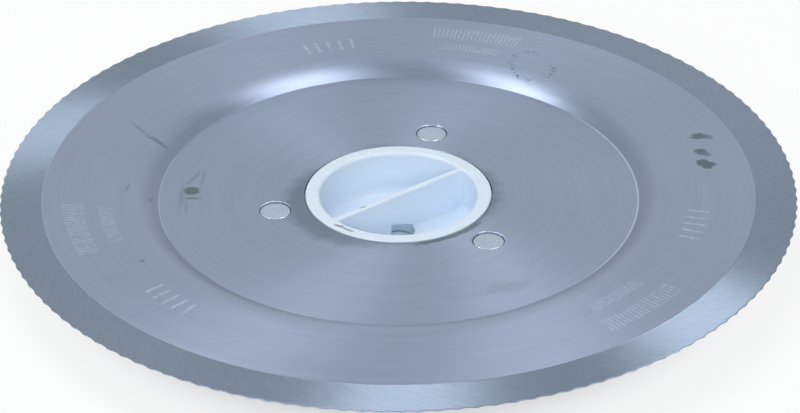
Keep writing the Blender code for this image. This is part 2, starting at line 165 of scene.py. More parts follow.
class Shell:
    """A closed mesh put together from grids of points whose rims meet."""

    def __init__(self, name: str) -> None:
        """Starts an empty shell that will be the mesh of that name."""
        self.name = name
        self.points: list[np.ndarray] = []
        self.faces: list[list[int]] = []
        self.slots: list[int] = []
        self.count = 0

    def _store(self, points: np.ndarray, faces: np.ndarray, slot: int = 0) -> None:
        """Appends faces.

        Args:
            points: Their corners, in millimetres.
            faces: The corners' numbers, counted from the first of them.
            slot: Their material.
        """
        self.points.append(points.reshape(-1, 3))
        self.faces.extend((faces + self.count).tolist())
        self.slots.extend([slot] * len(faces))
        self.count += points.size // 3

    def grid(self, points: np.ndarray, slot: int = 0, wrap: bool = True) -> None:
        """Adds a grid of faces.

        A profile that runs outwards on top, down the rim and back underneath, with its columns
        anticlockwise seen from above, faces outwards.

        Args:
            points: Shape (rows, columns, 3), in millimetres.
            slot: The material of its faces.
            wrap: Whether the last column joins the first.
        """
        rows, columns = points.shape[:2]
        first = np.arange(rows - 1)[:, None] * columns
        here = np.arange(columns if wrap else columns - 1)[None, :]
        after = (here + 1) % columns
        corners = [first + here, first + columns + here, first + columns + after, first + after]
        self._store(points, np.stack(corners, axis=-1).reshape(-1, 4), slot)

    def comb(self, coarse: np.ndarray, fine: np.ndarray, fine_last: bool = True) -> None:
        """Joins a ring to a level ring that has a whole multiple of its points, one face a step.

        Args:
            coarse: Shape (n, 3).
            fine: Shape (n k, 3); every k-th point is beside a coarse one.
            fine_last: Whether the fine ring comes after the coarse one along the profile.
        """
        count, share = len(coarse), len(fine) // len(coarse)
        step = np.arange(count)[:, None]
        teeth = count + (step * share + np.arange(share + 1)[None, :]) % len(fine)
        faces = np.concatenate([step, teeth, (step + 1) % count], axis=1)
        self._store(np.concatenate([coarse, fine]), faces if fine_last else faces[:, ::-1])

    def cap(self, ring: np.ndarray) -> None:
        """Closes a ring with one flat face."""
        self._store(ring, np.arange(len(ring))[None, :])

    def build(self, sharp: float = 30.0, outwards: bool = False) -> bpy.types.Object:
        """Welds the grids into one mesh.

        Args:
            sharp: Faces that meet at more than this many degrees are shaded apart.
            outwards: Whether the faces are turned outwards first.

        Returns:
            The object, at the origin, in the scene.
        """
        mesh = bpy.data.meshes.new(self.name)
        mesh.from_pydata(np.concatenate(self.points) * MM, [], self.faces)
        mesh.polygons.foreach_set("material_index", np.array(self.slots, dtype=np.int32))
        bm = bmesh.new()
        bm.from_mesh(mesh)
        bmesh.ops.remove_doubles(bm, verts=bm.verts, dist=WELD * MM)
        if outwards:
            bmesh.ops.recalc_face_normals(bm, faces=bm.faces)
        bm.to_mesh(mesh)
        bm.free()
        shade(mesh, sharp)
        made = bpy.data.objects.new(self.name, mesh)
        bpy.context.scene.collection.objects.link(made)
        return made


def shade(mesh: bpy.types.Mesh, sharp: float) -> None:
    """Shades a mesh smooth, apart from edges sharper than that many degrees."""
    mesh.shade_smooth()
    mesh.set_sharp_from_angle(angle=math.radians(sharp))


def block(name: str, rings: np.ndarray, turn: float) -> bpy.types.Object:
    """A closed block from rings of points, each joined to the next.

    Args:
        name: The mesh's name.
        rings: Shape (rings, points, 3), with x along the block's own line from the axis.
        turn: The angle of that line from +X.

    Returns:
        The object.
    """
    rings = spun(rings, turn)
    shell = Shell(name)
    shell.grid(rings)
    shell.cap(rings[0])
    shell.cap(rings[-1])
    return shell.build(outwards=True)


def peg(name: str, profile: list[Pair], at: Pair, steps: int) -> bpy.types.Object:
    """A profile turned round its own upright axis.

    Args:
        name: The mesh's name.
        profile: Points (r, z), from the axis and back to it.
        at: The place (x, y) of that axis.
        steps: Number of columns.

    Returns:
        The object.
    """
    shell = Shell(name)
    shell.grid(revolved(np.array(profile), ring_angles(steps, 1.3)) + np.array([*at, 0.0]))
    return shell.build(outwards=True)


def carve(base: bpy.types.Object, tools: list[tuple[bpy.types.Object, Cut]], sharp: float = 30.0) -> None:
    """Joins and cuts closed solids, and keeps the result as the base's own mesh.

    Args:
        base: The solid that stays.
        tools: The other solids, in order, with what each does. They are removed.
        sharp: Faces that meet at more than this many degrees are shaded apart.
    """
    for tool, cut in tools:
        step = base.modifiers.new(tool.name, "BOOLEAN")
        step.operation = cut.value
        step.solver = "MANIFOLD"
        step.object = tool
    bpy.context.view_layer.update()
    made = bpy.data.meshes.new_from_object(base.evaluated_get(bpy.context.evaluated_depsgraph_get()))
    base.modifiers.clear()
    base.data = made
    made.name = base.name
    for tool, _ in tools:
        bpy.data.objects.remove(tool, do_unlink=True)
    shade(made, sharp)


# Finishes


class Nodes:
    """Short calls for the nodes of a tree. A value is a constant or another node's socket."""

    def __init__(self, tree: bpy.types.NodeTree) -> None:
        """Empties a tree."""
        self.tree = tree
        tree.nodes.clear()

    def feed(self, target: Socket, value: object) -> None:
        """Gives a socket a value.

        Args:
            target: The socket.
            value: A constant, or the socket to join it to.
        """
        if isinstance(value, Socket):
            self.tree.links.new(value, target)
        else:
            target.default_value = value

    def node(self, kind: str, inputs: Inputs | None = None, **settings: object) -> bpy.types.Node:
        """Adds a node.

        Args:
            kind: Its type, without the word ShaderNode in front.
            inputs: The values of its sockets, by name or number.
            settings: Its properties.

        Returns:
            The node.
        """
        made = self.tree.nodes.new("ShaderNode" + kind)
        for name, setting in settings.items():
            setattr(made, name, setting)
        for name, value in (inputs or {}).items():
            self.feed(made.inputs[name], value)
        return made

    def maths(self, operation: str, *values: object) -> Socket:
        """One Math node of its values."""
        return self.node("Math", dict(enumerate(values)), operation=operation).outputs[0]

    def chain(self, operation: str, *values: object) -> Socket:
        """A Math operation carried along some values, from the first to the last."""
        return reduce(lambda first, second: self.maths(operation, first, second), values)

    def apart(self, first: object, second: object) -> Socket:
        """How far apart two values are."""
        return self.maths("ABSOLUTE", self.maths("SUBTRACT", first, second))

    def sway(self, value: object, noise: Socket, gain: float) -> Socket:
        """A value plus a gain times what a noise is above one half."""
        return self.maths("MULTIPLY_ADD", self.maths("SUBTRACT", noise, 0.5), gain, value)

    def vector(self, operation: str, *values: object) -> Socket:
        """The vector that one Vector Math node makes of its values."""
        return self.node("VectorMath", dict(enumerate(values)), operation=operation).outputs[0]

    def number(self, operation: str, *values: object) -> Socket:
        """The number that one Vector Math node makes of its values."""
        return self.node("VectorMath", dict(enumerate(values)), operation=operation).outputs["Value"]

    def scaled(self, vector: object, factor: object) -> Socket:
        """A vector times a number."""
        return self.node("VectorMath", {0: vector, "Scale": factor}, operation="SCALE").outputs[0]

    def turned(self, vector: object, angle: object) -> Socket:
        """A vector turned about Z by an angle in radians."""
        inputs = {"Vector": vector, "Angle": angle}
        return self.node("VectorRotate", inputs, rotation_type="Z_AXIS").outputs[0]

    def noise(self, where: object, grain: float, detail: float = 2.0, roughness: float = 0.5) -> Socket:
        """Noise from 0 to 1 at a place."""
        inputs = {"Vector": where, "Scale": grain, "Detail": detail, "Roughness": roughness}
        return self.node("TexNoise", inputs, noise_dimensions="3D").outputs["Fac"]

    def ramp(self, value: object, low: float, high: float, start: float = 0.0, end: float = 1.0) -> Socket:
        """A smooth step from start, where the value is low, to end, where it is high."""
        inputs = {"Value": value, "From Min": low, "From Max": high, "To Min": start, "To Max": end}
        return self.node("MapRange", inputs, interpolation_type="SMOOTHSTEP").outputs["Result"]

    def mix(self, factor: object, first: object, second: object) -> Socket:
        """A mix of two colours.

        Args:
            factor: The share of the second.
            first: A colour.
            second: Another colour.

        Returns:
            The mixed colour.
        """
        ends = [(*end, 1.0) if isinstance(end, tuple) else end for end in (first, second)]
        made = self.node("Mix", {"Factor": factor, "A": ends[0], "B": ends[1]}, data_type="RGBA")
        return made.outputs["Result"]


class Board(Nodes):
    """A material with one Principled shader, and the measures of a place that its patterns read."""

    def __init__(self, name: str) -> None:
        """Starts the material of that name."""
        self.material = bpy.data.materials.new(name)
        self.material.use_nodes = True
        super().__init__(self.material.node_tree)
        self.shader = self.node("BsdfPrincipled")
        self.output = self.node("OutputMaterial", {"Surface": self.shader.outputs["BSDF"]})
        self.place = self.node("TexCoord").outputs["Object"]

    @cached_property
    def plan(self) -> Socket:
        """The place in millimetres, without its height."""
        return self.vector("MULTIPLY", self.place, (1 / MM, 1 / MM, 0.0))

    @cached_property
    def radius(self) -> Socket:
        """The distance from the axis, in millimetres."""
        return self.number("LENGTH", self.plan)

    @cached_property
    def outwards(self) -> Socket:
        """The direction away from the axis."""
        return self.vector("NORMALIZE", self.plan)

    @cached_property
    def height(self) -> Socket:
        """The height in metres."""
        return self.node("SeparateXYZ", {0: self.place}).outputs["Z"]

    @cached_property
    def front(self) -> Socket:
        """1 on the sheet's front and 0 on its back: a step where the height passes the sheet's middle."""
        middle = self.ramp(self.radius, *MIDDLE_RADII, *(height * MM for height in MIDDLE_HEIGHTS))
        return self.ramp(self.maths("SUBTRACT", self.height, middle), -MIDDLE_SOFT * MM, MIDDLE_SOFT * MM)

    def lean(self, direction: Pair) -> Socket:
        """The outward direction's dot product with another one: near 1 on that side."""
        return self.number("DOT_PRODUCT", self.outwards, (*direction, 0.0))

    def ellipse(self, at: Pair, size: Pair = (2.0, 2.0), turn: float = 0.0) -> Socket:
        """How far a place is from an ellipse's middle: 1 on its edge.

        Args:
            at: Its middle (x, y).
            size: Its length and width. The usual ones give the distance in millimetres.
            turn: The angle of its length from +X.

        Returns:
            The distance over the ellipse's own reach.
        """
        inputs = {
            "Vector": self.place,
            "Location": (at[0] * MM, at[1] * MM, 0.0),
            "Rotation": (0.0, 0.0, math.radians(turn)),
            "Scale": (size[0] * MM / 2, size[1] * MM / 2, 1.0),
        }
        placed = self.node("Mapping", inputs, vector_type="TEXTURE").outputs[0]
        return self.number("LENGTH", self.vector("MULTIPLY", placed, (1.0, 1.0, 0.0)))

    def bump(self, height: Socket, strength: float, distance: float) -> Socket:
        """The normal of a surface that a height raises by a distance in millimetres."""
        inputs = {"Height": height, "Strength": strength, "Distance": distance * MM}
        return self.node("Bump", inputs).outputs[0]

    def dress(self, inputs: dict[str, object]) -> bpy.types.Material:
        """Sets sockets of the shader.

        Args:
            inputs: Their values, by name.

        Returns:
            The finished material.
        """
        for name, value in inputs.items():
            self.feed(self.shader.inputs[name], value)
        return self.material


@dataclass(frozen=True)
class Mark:
    """A soft-edged stain or scuff: an ellipse whose edge a noise breaks up."""

    at: Pair
    size: Pair
    turn: float = 0.0
    depth: float = 0.7
    ragged: float = 0.35
    soft: float = 0.35
    grain: float = 900.0

    def mask(self, board: Board) -> Socket:
        """How much of the mark is at a place: all inside the ellipse and none outside it.

        A noise is added to the share of the ellipse's reach, which makes one smooth step.

        Args:
            board: The material's nodes.

        Returns:
            A number from 0 to the depth.
        """
        rough = board.noise(board.place, self.grain, 3.0)
        reach = board.sway(board.ellipse(self.at, self.size, self.turn), rough, 2 * self.ragged)
        return board.ramp(reach, 1.0 - self.soft, 1.0 + self.soft, self.depth, 0.0)


@dataclass(frozen=True)
class Trace:
    """A mark along a circle round the axis. It serves for painted shade with grime in a gap, for painted
    highlights along a crease and for a pale line.
    """

    radius: float
    width: float
    middle: float
    half: float
    depth: float = 0.7
    ragged: float = 0.5
    grain: float = 700.0
    edge: Pair = (0.55, 1.3)
    full: float = 0.6

    def mask(self, board: Board) -> Socket:
        """How much of the trace is at a place.

        The distance from the circle over half the width, with noise added, makes one smooth step,
        and the cosine of the angle from the middle makes the other, which ends the trace.

        Args:
            board: The material's nodes.

        Returns:
            A number from 0 to the depth.
        """
        share = board.maths("DIVIDE", board.apart(board.radius, self.radius), self.width / 2)
        share = board.sway(share, board.noise(board.place, self.grain, 3.0), 2 * self.ragged)
        across = board.ramp(share, *self.edge, self.depth, 0.0)
        inner, outer = (math.cos(math.radians(self.half * share)) for share in (self.full, 1.0))
        lean = board.lean(on_circle(1.0, self.middle))
        return board.maths("MULTIPLY", across, board.ramp(lean, outer, inner))


@dataclass(frozen=True)
class SpeckRing:
    """A ring of dark specks, such as a drop leaves when it dries."""

    at: Pair
    size: Pair
    turn: float = 0.0
    depth: float = 0.8
    wander_grain: float = 260.0
    wander: float = 0.5
    rim: Pair = (0.04, 0.2)
    speck_grain: float = 1700.0
    speck_limits: Pair = (0.53, 0.62)
    patch_grain: float = 240.0
    patch_limits: Pair = (0.42, 0.54)

    def mask(self, board: Board) -> Socket:
        """How much of a speck is at a place: a noise above its limit, where the ellipse's edge is.

        Args:
            board: The material's nodes.

        Returns:
            A number from 0 to the depth.
        """
        wander = board.noise(board.place, self.wander_grain, 2.0)
        out = board.sway(board.ellipse(self.at, self.size, self.turn), wander, self.wander)
        rim = board.ramp(board.apart(out, 1.0), *self.rim, 1.0, 0.0)
        patches = board.ramp(board.noise(board.place, self.patch_grain, 1.0), *self.patch_limits, 0.35, 1.0)
        specks = board.noise(board.place, self.speck_grain, 1.0)
        specks = board.ramp(specks, *self.speck_limits, 0.0, self.depth)
        return board.chain("MULTIPLY", rim, patches, specks)


@dataclass(frozen=True)
class HubSmear:
    """A grey film round the hub that hands leave, and that reaches further out on some sides."""

    reach: float
    sides: tuple[tuple[Pair, float, float], ...]
    depth: float = 0.5
    streak_grain: float = 9.0
    streaks: float = 3.0
    patch_grain: float = 260.0
    patches: float = 2.5
    edge: Pair = (-1.0, 3.0)

    def mask(self, board: Board) -> Socket:
        """How much of the film is at a place: a smooth step of how far it still reaches there.

        Each side has a direction, a start and a gain. The reach grows by the gain times what the
        dot product with the direction is above the start, and by two noises.

        Args:
            board: The material's nodes.

        Returns:
            A number from 0 to the depth.
        """
        reach = self.reach
        for direction, start, gain in self.sides:
            side = board.maths("MAXIMUM", board.maths("SUBTRACT", board.lean(direction), start), 0.0)
            reach = board.maths("MULTIPLY_ADD", side, gain, reach)
        streaks = board.noise(board.scaled(board.outwards, self.streak_grain), 1.0, 4.0, 0.6)
        reach = board.sway(reach, streaks, self.streaks)
        reach = board.sway(reach, board.noise(board.place, self.patch_grain, 3.0, 0.6), self.patches)
        return board.ramp(board.maths("SUBTRACT", reach, board.radius), *self.edge, 0.0, self.depth)


@dataclass(frozen=True)
class Hatch:
    """A bent field of short light strokes, side by side along a circle round the axis."""

    radius: float
    height: float
    middle: float
    half: float
    pitch: float
    thin: float = -0.1
    depth: float = 0.32
    end_soft: float = 0.004
    waver_grain: float = 500.0
    waver: float = 2.2
    break_grain: float = 1100.0
    break_limits: Pair = (0.36, 0.56)

    def mask(self, board: Board) -> Socket:
        """How much of a stroke is at a place.

        The place is turned back by the middle's angle. The sine of its angle over the pitch, with
        noise added, makes the strokes, and smooth steps of the angle and the radius end the field.

        Args:
            board: The material's nodes.

        Returns:
            A number from 0 to the depth.
        """
        back = board.turned(board.plan, -math.radians(self.middle))
        parts = board.node("SeparateXYZ", {0: back}).outputs
        angle = board.maths("ARCTAN2", parts["Y"], parts["X"])
        end, half = self.height / 2, math.radians(self.half)
        high = board.ramp(board.apart(board.radius, self.radius), end - 0.3, end + 0.1, 1.0, 0.0)
        wide = board.ramp(board.apart(angle, 0.0), half - self.end_soft, half + self.end_soft, 1.0, 0.0)
        waver = board.maths("MULTIPLY", board.noise(board.place, self.waver_grain, 2.0), self.waver)
        turns = board.maths("MULTIPLY_ADD", angle, 2 * math.pi / math.radians(self.pitch), waver)
        strokes = board.ramp(board.maths("SINE", turns), self.thin, self.thin + 0.5, 0.0, self.depth)
        broken = board.ramp(board.noise(board.place, self.break_grain, 2.0), *self.break_limits, 0.2, 1.0)
        return board.chain("MULTIPLY", high, wide, strokes, broken)


StainOrGapShade = Mark | Trace | SpeckRing | HubSmear


@dataclass(frozen=True)
class SteelFinish:
    """Stainless steel with fine lines that run round the axis, or spiral outwards from it.

    The lines make an angle with the circle round the axis. It is lay_at_middle at the middle
    radius, and changes by lay_change for every millimetre outwards. Across and along are the
    lines in a millimetre. The slope is darker from its first radius to its second.
    """

    name: str
    lay: Lay
    light: Colour
    dark: Colour
    roughness: float
    anisotropy: float
    lay_at_middle: float
    lay_change: float
    middle: float
    across: float
    along: float
    contrast: float
    groove: float
    stains_and_gap_shade: tuple[StainOrGapShade, ...] = ()
    pale_marks_and_highlights: tuple[Trace | Hatch, ...] = ()
    slope: Pair | None = None
    slope_tone: float = 0.8
    cloud_grain: float = 45.0
    cloud: float = 0.35
    waver_grain: float = 320.0
    waver: float = 1.6

    def material(self) -> bpy.types.Material:
        """Builds the material.

        The lines and a slow noise mix the two tones. Fields of strokes, a pale line and painted highlights
        lighten them, and stain marks, grime and painted shade in the gap round the hub darken them, on the
        front alone. The tangent is the outward direction turned back by the lay.

        Returns:
            The material.
        """
        board = Board(self.name)
        lines = self.lines(board)
        tone = board.sway(0.5, lines, self.contrast)
        tone = board.sway(tone, board.noise(board.place, self.cloud_grain, 3.0, 0.6), self.cloud)
        colour = board.mix(tone, self.dark, self.light)
        rough = board.sway(self.roughness, lines, 0.12)
        metal = 1.0
        if self.slope:
            colour = board.scaled(colour, self.slope_shade(board, *self.slope))
        # Fields of strokes, a pale line and painted highlights along the slope's foot lighten the front.
        for line in self.pale_marks_and_highlights:
            colour = board.mix(board.maths("MULTIPLY", line.mask(board), board.front), colour, PALE_MARK_AND_HIGHLIGHT)
        # Stain marks and grime darken the front, and so does painted shade in the gap round the hub.
        if self.stains_and_gap_shade:
            grime_and_gap_shade = board.chain("MAXIMUM", *(stain.mask(board) for stain in self.stains_and_gap_shade))
            grime_and_gap_shade = board.maths("MULTIPLY", grime_and_gap_shade, board.front)
            colour = board.mix(grime_and_gap_shade, colour, GRIME_AND_GAP_SHADE)
            rough = board.maths("MULTIPLY_ADD", grime_and_gap_shade, 0.2, rough)
            metal = board.maths("MULTIPLY_ADD", grime_and_gap_shade, -0.6, 1.0)
        out = board.maths("SUBTRACT", board.radius, self.middle)
        change, start = -math.radians(self.lay_change), -math.radians(self.lay_at_middle)
        return board.dress(
            {
                "Base Color": colour,
                "Metallic": metal,
                "Roughness": rough,
                "Anisotropic": self.anisotropy,
                "Tangent": board.turned(board.outwards, board.maths("MULTIPLY_ADD", out, change, start)),
                "Normal": board.bump(lines, self.groove, 0.01),
            }
        )

    def slope_shade(self, board: Board, foot: float, top: float) -> Socket:
        """How much light the pressed slope keeps: least at its foot, all of it inside and above.

        Args:
            board: The material's nodes.
            foot: The slope's inner radius.
            top: Its outer radius.

        Returns:
            A number from the slope's tone to 1.
        """
        on_slope = board.ramp(board.radius, foot - 0.25, foot + 0.25)
        kept = board.ramp(board.radius, foot + 1.0, top, self.slope_tone, 1.0)
        return board.maths("MULTIPLY_ADD", on_slope, board.maths("SUBTRACT", kept, 1.0), 1.0)

    def lines(self, board: Board) -> Socket:
        """Noise stretched along the lines.

        For lines round the axis, the noise is read at the outward direction, slowly, and at the
        radius, quickly. For spiral lines the direction is first turned back by the logarithm of
        the radius over the lay's tangent, which is the same all along one spiral, and it is read
        quickly, with the radius slowly. A second noise makes spiral lines waver.

        Args:
            board: The material's nodes.

        Returns:
            A number from 0 to 1.
        """
        if self.lay is Lay.ROUND:
            where = self._read(board, board.outwards, self.along, self.across)
            return board.noise(where, 1.0, 3.0, 0.65)
        share = board.maths("LOGARITHM", board.maths("DIVIDE", board.radius, self.middle), math.e)
        back = board.maths("MULTIPLY", share, -1.0 / math.tan(math.radians(self.lay_at_middle)))
        where = self._read(board, board.turned(board.outwards, back), self.across, self.along)
        waver = board.sway(0.0, board.noise(board.place, self.waver_grain, 2.0), self.waver)
        return board.noise(board.vector("ADD", where, board.scaled((1.0, 1.0, 0.0), waver)), 1.0, 4.0, 0.7)

    def _read(self, board: Board, direction: Socket, around: float, outwards: float) -> Socket:
        """Where the noise of the lines is read: a direction, and the radius in place of the height.

        Args:
            board: The material's nodes.
            direction: The direction, of length 1.
            around: Lines in a millimetre along the circle at the middle radius.
            outwards: Lines in a millimetre along the radius.

        Returns:
            The place, as a vector.
        """
        wide = board.scaled(direction, self.middle * around)
        high = board.node("CombineXYZ", {"Z": board.maths("MULTIPLY", board.radius, outwards)}).outputs[0]
        return board.vector("ADD", wide, high)


@dataclass(frozen=True)
class PlasticFinish:
    """White moulded plastic, slightly bluish, with a soft sheen and a few scuffs.

    Inside a radius and below a height, which bore_shade holds, it is darker: painted shade in the bore.
    """

    name: str
    light: Colour
    dark: Colour
    roughness: float
    scuffs: tuple[Mark, ...]
    bore_shade: Pair
    cloud_grain: float = 120.0
    fine_grain: float = 2600.0
    specular: float = 0.28

    def material(self) -> bpy.types.Material:
        """Builds the material.

        Returns:
            The material.
        """
        board = Board(self.name)
        colour = board.mix(board.noise(board.place, self.cloud_grain, 3.0), self.dark, self.light)
        scuffed = board.chain("MAXIMUM", *(scuff.mask(board) for scuff in self.scuffs))
        colour = board.mix(scuffed, colour, SCUFF_DIRT)
        # Painted shade in the bore: darker inside its radius and below its height.
        radius, top = self.bore_shade
        near = board.ramp(board.radius, radius, radius + 0.3, 1.0, 0.0)
        low = board.ramp(board.height, top * MM, (top + 0.2) * MM, 0.85, 0.0)
        grain = board.noise(board.place, self.fine_grain, 3.0)
        return board.dress(
            {
                "Base Color": board.mix(board.maths("MULTIPLY", near, low), colour, SHADE_IN_BORE),
                "Roughness": board.sway(self.roughness, grain, 0.1),
                "IOR": 1.5,
                "Specular IOR Level": self.specular,
                "Normal": board.bump(grain, 0.12, 0.02),
            }
        )


@dataclass(frozen=True)
class RivetFinish:
    """Formed metal with faint rings from the punch that spun it closed."""

    name: str
    light: Colour
    dark: Colour
    roughness: float
    ring_pitch: float = 0.62
    waver: float = 5.0
    patch_grain: float = 420.0
    pit_grain: float = 1500.0

    def material(self, at: Pair) -> bpy.types.Material:
        """Builds the material of one rivet.

        The rings are a sine of the distance from its axis, with noise added, so that they waver.

        Args:
            at: The place (x, y) of its axis.

        Returns:
            The material.
        """
        board = Board(self.name)
        patches = board.noise(board.place, self.patch_grain, 3.0, 0.6)
        pits = board.noise(board.place, self.pit_grain, 3.0, 0.6)
        turns = board.maths("MULTIPLY", board.ellipse(at), 2 * math.pi / self.ring_pitch)
        wave = board.maths("SINE", board.maths("MULTIPLY_ADD", patches, self.waver, turns))
        rings = board.maths("MULTIPLY_ADD", wave, 0.5, 0.5)
        tone = board.sway(board.sway(patches, rings, 0.5), pits, 0.5)
        return board.dress(
            {
                "Base Color": board.mix(tone, self.dark, self.light),
                "Metallic": 1.0,
                "Roughness": board.ramp(pits, 0.3, 0.7, self.roughness - 0.04, self.roughness + 0.06),
                "Normal": board.bump(board.maths("MULTIPLY_ADD", rings, 0.6, pits), 0.12, 0.02),
            }
        )


# The blade


@dataclass
class BladeDisc:
    """The dished steel disc with its wave-ground edge, ground band and fluted back bevel.

    Each rivet's seat takes up the sheet inside seat_radius, seat_half degrees to each side.
    """

    finishes: tuple[SteelFinish, SteelFinish]
    name: str = "ground_steel_disc"
    diameter: float = 170.0
    sheet: float = 1.0
    waves: int = 144
    wave_depth: float = 0.28
    wave_sharpness: float = 1.4
    wave_points: int = 10
    band_width: float = 8.75
    band_drop: float = 0.10
    band_lip: float = 0.14
    edge_land: float = 0.15
    edge_break: float = 0.16
    bevel_width: float = 5.0
    outer_ring_width: float = 24.7
    dish_depth: float = 2.4
    dish_slope: float = 33.0
    shoulder: float = 11.0
    front_bend: float = 0.5
    back_bend: float = 1.2
    centre_front: float = 11.8
    hole_radius: float = 20.25
    hole_round: float = 0.12
    seat_radius: float = 34.0
    seat_half: int = 15
    seat_rows: int = 17
    rivet_hole: float = 3.36
    dimple_width: float = 0.4
    dimple_depth: float = 0.2
    countersink_depth: float = 0.6
    shank_hole: float = 2.3
    columns: int = 360

    def __post_init__(self) -> None:
        """Works out the heights and radii that several methods share."""
        self.centre_back = self.centre_front - self.sheet
        self.ring_front = self.centre_front + self.dish_depth
        self.ring_back = self.ring_front - self.sheet
        self.edge = self.diameter / 2
        self.edge_top = self.ring_front - self.band_drop
        self.land_foot = self.edge_top - self.edge_land
        self.bevel_inner = self.edge - self.bevel_width
        self.band_inner = self.edge - self.band_width
        self.corner = self.band_inner - self.outer_ring_width
        slope = math.radians(self.dish_slope)
        shoulder_r = self.corner + self.dish_depth / math.tan(slope) + self.shoulder * math.tan(slope / 2)
        self.shoulder_at = (shoulder_r, self.ring_front - self.shoulder)
        self.around = ring_angles(self.columns)
        self.fine_around = ring_angles(self.waves * self.wave_points)
        self.seat_radii = np.linspace(self.hole_radius + self.hole_round, self.seat_radius, self.seat_rows)

    def wave(self, angle: np.ndarray) -> np.ndarray:
        """How far the edge is outside its mean line: the depth times |cos(n a / 2)| to a power, less half."""
        return self.wave_depth * (np.abs(np.cos(self.waves * angle / 2)) ** (2 * self.wave_sharpness) - 0.5)

    def front_profile(self) -> np.ndarray:
        """(r, z) from the flat centre up the pressed slope to the ground band's inner line.

        Returns:
            The points: a flat, an arc at the foot, a straight rise, the shoulder's arc and a flat.
        """
        front, bend = self.centre_front, self.front_bend
        foot = self.corner - bend * math.tan(math.radians(self.dish_slope) / 2)
        flat = straight((self.seat_radius, front), (foot, front), [0, 0.25, 0.5, 0.75, 0.94, 0.985])
        low = arc((foot, front + bend), bend, -90, -90 + self.dish_slope, 6)
        high = arc(self.shoulder_at, self.shoulder, 90 + self.dish_slope, 90, 12)
        rise = straight(tuple(low[-1]), tuple(high[0]), [0.05, 0.5, 0.95])
        rim = (self.band_inner, self.ring_front)
        ring = straight(tuple(high[-1]), rim, [0.02, 0.2, 0.4, 0.6, 0.8, 0.97, 0.998])
        return np.concatenate([flat, low, rise, high, ring])

    def back_profile(self) -> np.ndarray:
        """(r, z) from inside the back bevel down the pressed slope to the flat centre, behind.

        Returns:
            The points, in the front profile's order turned round.
        """
        back, bend, half_slope = self.centre_back, self.back_bend, math.radians(self.dish_slope) / 2
        foot = self.corner + self.sheet * math.tan(half_slope) - bend * math.tan(half_slope)
        high = arc(self.shoulder_at, self.shoulder - self.sheet, 90, 90 + self.dish_slope, 12)
        low = arc((foot, back + bend), bend, -90 + self.dish_slope, -90, 8)
        rim = (self.bevel_inner - 1.0, self.ring_back)
        ring = straight(rim, tuple(high[0]), [0, 0.2, 0.4, 0.6, 0.8, 0.98])
        rise = straight(tuple(high[-1]), tuple(low[0]), [0.05, 0.5, 0.95])
        flat = straight(tuple(low[-1]), (self.seat_radius, back), [0.015, 0.06, 0.25, 0.5, 0.75, 1.0])
        return np.concatenate([ring, high, rise, low, flat])

    def edge_surface(self) -> np.ndarray:
        """The ground band, the waved edge and the fluted bevel, at every fine angle.

        Each row has a radius, a height and a share of the wave. The point is at the radius plus
        that share of the wave, so the band is round and the edge and the bevel are waved.

        Returns:
            Shape (rows, angles, 3).
        """
        fall = self.band_drop / self.band_width
        front, top, edge, foot = self.ring_front, self.edge_top, self.edge, self.land_foot
        rows = [(self.band_inner, front, 0.0), (self.band_inner + self.band_lip, front - 0.012, 0.0)]
        for share in (0.06, 0.2, 0.4, 0.6, 0.8, 0.93):
            out = share * self.band_width
            rows.append((self.band_inner + out, front - fall * out - 0.006 * (1 - share), 0.0))
        rows += [
            (edge - 0.42, top + fall * 0.42, 0.45),
            (edge - self.edge_break, top, 1.0),
            (edge - self.edge_break * 0.35, top - 0.012, 1.0),
            (edge, top - 0.04, 1.0),
            (edge, foot, 1.0),
        ]
        for share in (0.02, 0.2, 0.45, 0.7, 0.9, 0.985, 1.0):
            rows.append((edge - self.bevel_width * share, foot + (self.ring_back - foot) * share, 1.0))
        rows.append((self.bevel_inner - 0.25, self.ring_back, 0.5))
        radii, heights, shares = np.array(rows).T[:, :, None]
        around = self.fine_around[None, :]
        return polar(radii + shares * self.wave(around), around, heights)

    def seat_border(self, middle: float, height: float) -> np.ndarray:
        """The border of the sheet round one rivet, clockwise seen from above.

        Args:
            middle: The rivet's angle.
            height: The border's height.

        Returns:
            Shape (points, 3).
        """
        low, high = math.radians(middle - self.seat_half), math.radians(middle + self.seat_half)
        sweep = np.linspace(low, high, 2 * self.seat_half + 1)
        inner = polar(self.seat_radii[0], sweep[:-1], height)
        side = polar(self.seat_radii[:-1], high, height)
        outer = polar(self.seat_radii[-1], sweep[:0:-1], height)
        back = polar(self.seat_radii[:0:-1], low, height)
        return np.concatenate([inner, side, outer, back])

    def rivet_seat(self, middle: float) -> np.ndarray:
        """The sheet round one rivet: each point of the border slides towards the hole's circle.

        The rows go from the border on the front, along straight lines, to the dimple's rim. The
        dimple falls by its depth times a quarter wave of cosine. Then come the rounded lip, the
        countersink, the shank's hole and the same lines out again behind.

        Args:
            middle: The rivet's angle.

        Returns:
            Shape (rows, points, 3).
        """
        front = self.seat_border(middle, self.centre_front)
        behind = self.seat_border(middle, self.centre_back)
        centre = on_circle(RIVET_CIRCLE, middle)
        away = front[:, :2] - centre
        away /= np.linalg.norm(away, axis=1, keepdims=True)

        def circle(radius: float, height: float) -> np.ndarray:
            """A circle round the rivet, one point in the direction of each point of the border."""
            return np.concatenate([centre + radius * away, np.full((len(away), 1), height)], axis=1)

